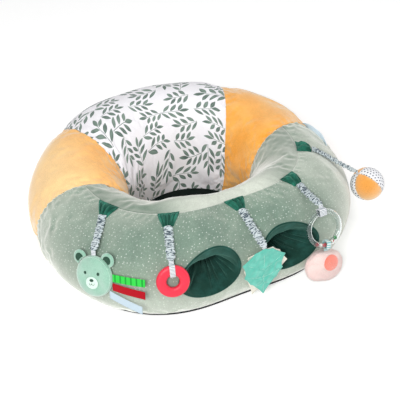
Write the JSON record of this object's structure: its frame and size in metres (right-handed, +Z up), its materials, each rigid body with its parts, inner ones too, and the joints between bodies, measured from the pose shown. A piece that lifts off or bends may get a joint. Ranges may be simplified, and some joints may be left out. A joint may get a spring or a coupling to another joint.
{
  "type": "baby floor seat",
  "caption": "Round padded floor seat for a baby, with a well to sit in, two leg tunnels at the front and five toys hanging on ruched straps.",
  "frame": {"origin": "on the floor under the middle of the ring, at the underside of the base", "axes": "+Z up; -Y is the front, with the leg tunnels; +X is the sitting baby's left"},
  "size_m": [0.672, 0.6123, 0.1911],
  "materials": {
    "base_cloth": "matte woven cloth with grip dots",
    "filling": "soft fibre filling in a plain inner cover",
    "leaf_print_cloth": "soft cotton with a grey-green sprig print",
    "orange_cloth": "soft matte velour",
    "dotted_sage_cloth": "soft cotton with fine white dots",
    "plain_sage_cloth": "soft matte velour",
    "green_velvet": "crushed velvet",
    "floor_cloth": "matte quilted cloth",
    "light_ribbon": "satin ribbon",
    "zip_tape_cloth": "woven tape",
    "zip_plastic": "moulded coil",
    "zip_metal": "satin",
    "strap_cloth": "ruched printed cotton",
    "toy_ribbon": "woven ribbon",
    "mint_plush": "short plush",
    "dark_felt": "felt",
    "pale_felt": "felt",
    "green_ribbon": "striped satin ribbon",
    "red_ribbon": "satin ribbon",
    "teether_silicone": "smooth silicone, satin",
    "leaf_cloth": "crinkle cloth with stitched veins",
    "cream_cloth": "plain cotton",
    "clear_plastic": "clear plastic, gloss",
    "bead_plastic": "gloss",
    "striped_ribbon": "striped ribbon",
    "pink_plush": "long soft plush",
    "coral_cloth": "cotton with embroidery",
    "dotted_white_cloth": "cotton with dark dots"
  },
  "bodies": {
    "seat": {"base_sheet": "base_cloth", "back_filling": "filling", "front_filling_right": "filling", "front_filling_left": "filling", "back_panel": "leaf_print_cloth", "side_panel_right": "orange_cloth", "side_panel_left": "orange_cloth", "front_outer_panel": "dotted_sage_cloth", "front_inner_panel": "plain_sage_cloth", "leg_tunnel_lining_right": "green_velvet", "leg_tunnel_lining_left": "green_velvet", "floor_cushion": "floor_cloth", "side_ribbon": "light_ribbon", "zip_tape": "zip_tape_cloth", "zip_coil": "zip_plastic", "tab_bear": "green_velvet", "tab_teether": "green_velvet", "tab_leaf": "green_velvet", "tab_rattle": "green_velvet", "tab_ball": "green_velvet"},
    "slider": {"zip_slider": "zip_metal"},
    "pull": {"zip_pull": "zip_metal"},
    "bear_strap": {"strap_bear": "strap_cloth"},
    "bear": {"bear_head": "mint_plush", "bear_ear_left": "mint_plush", "bear_ear_right": "mint_plush", "bear_inner_ears": "dark_felt", "bear_muzzle": "pale_felt", "bear_eyes_and_nose": "dark_felt", "bear_loop": "toy_ribbon", "label_green": "green_ribbon", "label_red": "red_ribbon", "label_blue": "light_ribbon"},
    "teether_strap": {"strap_teether": "strap_cloth"},
    "teether_hanger": {"teether_loop": "toy_ribbon"},
    "teether": {"teething_ring": "teether_silicone"},
    "leaf_strap": {"strap_leaf": "strap_cloth"},
    "leaf": {"leaf_front": "leaf_cloth", "leaf_back": "cream_cloth", "leaf_loop": "toy_ribbon"},
    "rattle_strap": {"strap_rattle": "strap_cloth"},
    "rattle_hanger": {"rattle_loop": "toy_ribbon"},
    "rattle_ring": {"rattle_shell_front": "clear_plastic", "rattle_shell_back": "clear_plastic"},
    "beads": {"rattle_beads": "bead_plastic"},
    "plush": {"plush_ribbon": "striped_ribbon", "plush_body": "pink_plush", "plush_patch": "coral_cloth"},
    "ball_strap": {"strap_ball": "strap_cloth"},
    "ball": {"ball_filling": "filling", "ball_gores_orange": "orange_cloth", "ball_gores_dotted": "dotted_white_cloth", "ball_loop": "toy_ribbon"}
  },
  "joints": [
    {"name": "bear_strap_swing", "type": "hinge", "parent": "seat", "child": "bear_strap", "pos_m": [-0.22294, -0.12572, 0.17232], "axis": [-0.4501, 0.8876, -0.098], "range_deg": [0, 65]},
    {"name": "bear_swing", "type": "hinge", "parent": "bear_strap", "child": "bear", "pos_m": [-0.26547, -0.18306, 0.14655], "axis": [-0.6002, 0.7757, -0.1949], "range_deg": [0, 50]},
    {"name": "teether_strap_swing", "type": "hinge", "parent": "seat", "child": "teether_strap", "pos_m": [-0.13521, -0.22135, 0.18225], "axis": [-0.9284, 0.3673, -0.0558], "range_deg": [0, 65]},
    {"name": "teether_swing", "type": "hinge", "parent": "teether_strap", "child": "teether_hanger", "pos_m": [-0.1538, -0.27199, 0.14614], "axis": [-0.9625, 0.2713, 0], "range_deg": [0, 50]},
    {"name": "leaf_strap_swing", "type": "hinge", "parent": "seat", "child": "leaf_strap", "pos_m": [0.00427, -0.23568, 0.17931], "axis": [-0.9999, 0.0107, -0.0044], "range_deg": [0, 65]},
    {"name": "leaf_swing", "type": "hinge", "parent": "leaf_strap", "child": "leaf", "pos_m": [0.01728, -0.29977, 0.13099], "axis": [-0.9996, 0.0293, 0], "range_deg": [0, 50]},
    {"name": "rattle_strap_swing", "type": "hinge", "parent": "seat", "child": "rattle_strap", "pos_m": [0.13469, -0.22155, 0.18228], "axis": [-0.9297, -0.3642, 0.0551], "range_deg": [0, 65]},
    {"name": "rattle_swing", "type": "hinge", "parent": "rattle_strap", "child": "rattle_hanger", "pos_m": [0.15108, -0.27207, 0.15939], "axis": [-0.9995, -0.031, 0], "range_deg": [0, 50]},
    {"name": "ball_strap_swing", "type": "hinge", "parent": "seat", "child": "ball_strap", "pos_m": [0.22561, -0.1203, 0.17175], "axis": [-0.4279, -0.8991, 0.0923], "range_deg": [0, 60]},
    {"name": "ball_swing", "type": "hinge", "parent": "ball_strap", "child": "ball", "pos_m": [0.30056, -0.17204, 0.12316], "axis": [-0.4467, -0.8947, 0], "range_deg": [0, 45]},
    {"name": "teething_ring_turn", "type": "hinge", "parent": "teether_hanger", "child": "teether", "pos_m": [-0.15667, -0.28218, 0.10856], "axis": [0.2575, 0.9134, -0.3151], "continuous": true},
    {"name": "rattle_ring_turn", "type": "hinge", "parent": "rattle_hanger", "child": "rattle_ring", "pos_m": [0.15153, -0.28656, 0.11444], "axis": [-0.0292, 0.9389, -0.3429], "continuous": true},
    {"name": "beads_slide", "type": "hinge", "parent": "rattle_ring", "child": "beads", "pos_m": [0.15153, -0.28656, 0.11444], "axis": [-0.0292, 0.9389, -0.3429], "continuous": true},
    {"name": "plush_swing", "type": "hinge", "parent": "rattle_hanger", "child": "plush", "pos_m": [0.15188, -0.29787, 0.08344], "axis": [-0.9995, -0.031, 0], "range_deg": [0, 45]},
    {"name": "zip_slide", "type": "hinge", "parent": "seat", "child": "slider", "pos_m": [0, -0.078, 0.04], "axis": [0, 0, 1], "range_deg": [0, 32]},
    {"name": "zip_pull_swing", "type": "hinge", "parent": "slider", "child": "pull", "pos_m": [0.10175, 0.27395, 0.03779], "axis": [0.9607, -0.2777, 0], "range_deg": [0, 105]}
  ]
}
